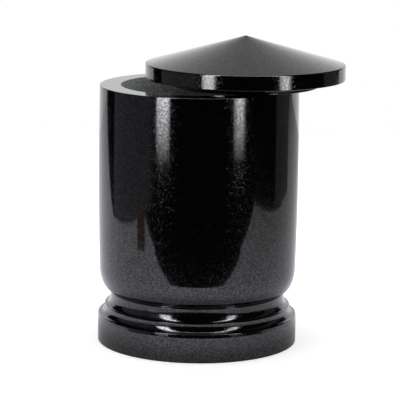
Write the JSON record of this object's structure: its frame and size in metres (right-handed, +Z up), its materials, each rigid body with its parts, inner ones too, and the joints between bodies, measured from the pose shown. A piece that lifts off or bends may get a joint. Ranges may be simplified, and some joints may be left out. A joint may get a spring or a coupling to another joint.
{
  "type": "cremation urn",
  "caption": "Turned cremation urn of polished black granite on a coved round base, its shallow conical lid pushed aside on the rim.",
  "frame": {"origin": "on the vessel's own axis at its underside, where it stands", "axes": "+Z up along the vessel's axis; +X towards the side to which the lid has been pushed; -Y towards the viewer of the picture"},
  "size_m": [0.2445, 0.2, 0.3083],
  "materials": {
    "polished_granite": "high polish, near-black, fine-grained; the bore is left drilled and matt"
  },
  "bodies": {
    "root": {"urn_body": "polished_granite", "lid": "polished_granite"}
  },
  "joints": []
}
